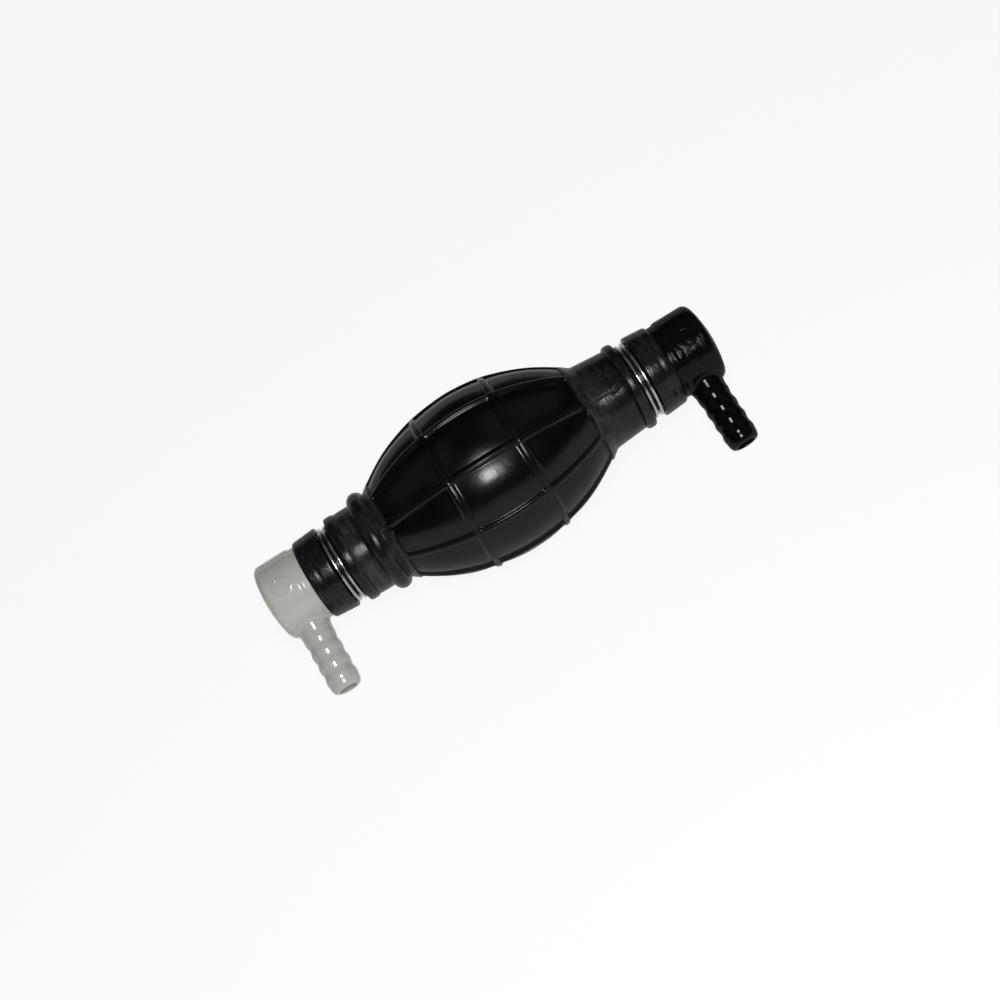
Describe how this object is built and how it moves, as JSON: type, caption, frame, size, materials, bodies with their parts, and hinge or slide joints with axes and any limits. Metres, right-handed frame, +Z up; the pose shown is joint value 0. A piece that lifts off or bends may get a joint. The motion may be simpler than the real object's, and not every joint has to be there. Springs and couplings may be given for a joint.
{
  "type": "siphon bulb pump",
  "caption": "Hand squeezed rubber bulb pump with a one-way valve in each neck and a swivelling right-angle barbed hose tail at each end.",
  "frame": {"origin": "on the surface that the pump lies on, under the middle of its outline", "axes": "+X along the pump's axis in the direction of flow, from the grey inlet elbow to the black outlet elbow; +Z up; the hose tails point to -Y and down"},
  "size_m": [0.1668, 0.06, 0.0571],
  "materials": {
    "bulb_rubber": "semi-gloss moulded rubber",
    "zinc_wire": "bright zinc plated wire",
    "grey_plastic": "semi-gloss moulded plastic",
    "black_plastic": "gloss moulded plastic",
    "valve_plastic": "natural acetal",
    "seal_rubber": "matte nitrile rubber",
    "spring_steel": "stainless spring wire"
  },
  "bodies": {
    "bulb_body": {"bulb": "bulb_rubber", "inlet_clip": "zinc_wire", "outlet_clip": "zinc_wire"},
    "inlet_elbow_body": {"inlet_elbow": "grey_plastic", "inlet_valve_body": "valve_plastic", "inlet_valve_o_ring": "seal_rubber", "inlet_spring": "spring_steel", "inlet_spring_retainer": "valve_plastic"},
    "outlet_elbow_body": {"outlet_elbow": "black_plastic", "outlet_valve_body": "valve_plastic", "outlet_valve_o_ring": "seal_rubber", "outlet_spring": "spring_steel", "outlet_spring_retainer": "valve_plastic"},
    "inlet_poppet_body": {"inlet_poppet": "valve_plastic", "inlet_poppet_seal": "seal_rubber"},
    "outlet_poppet_body": {"outlet_poppet": "valve_plastic", "outlet_poppet_seal": "seal_rubber"}
  },
  "joints": [
    {"name": "inlet_elbow_swivel", "type": "hinge", "parent": "bulb_body", "child": "inlet_elbow_body", "pos_m": [-0.0665, 0.00178, 0.0281], "axis": [1, 0, 0], "continuous": true},
    {"name": "inlet_poppet_slide", "type": "slide", "parent": "inlet_elbow_body", "child": "inlet_poppet_body", "axis": [1, 0, 0], "range_m": [0, 0.0025], "stiffness_N_per_m": 60, "springref_m": -0.003, "deforming": ["inlet_spring"]},
    {"name": "outlet_elbow_swivel", "type": "hinge", "parent": "bulb_body", "child": "outlet_elbow_body", "pos_m": [0.0665, 0.00178, 0.0281], "axis": [1, 0, 0], "continuous": true},
    {"name": "outlet_poppet_slide", "type": "slide", "parent": "outlet_elbow_body", "child": "outlet_poppet_body", "axis": [1, 0, 0], "range_m": [0, 0.0025], "stiffness_N_per_m": 60, "springref_m": -0.003, "deforming": ["outlet_spring"]}
  ]
}
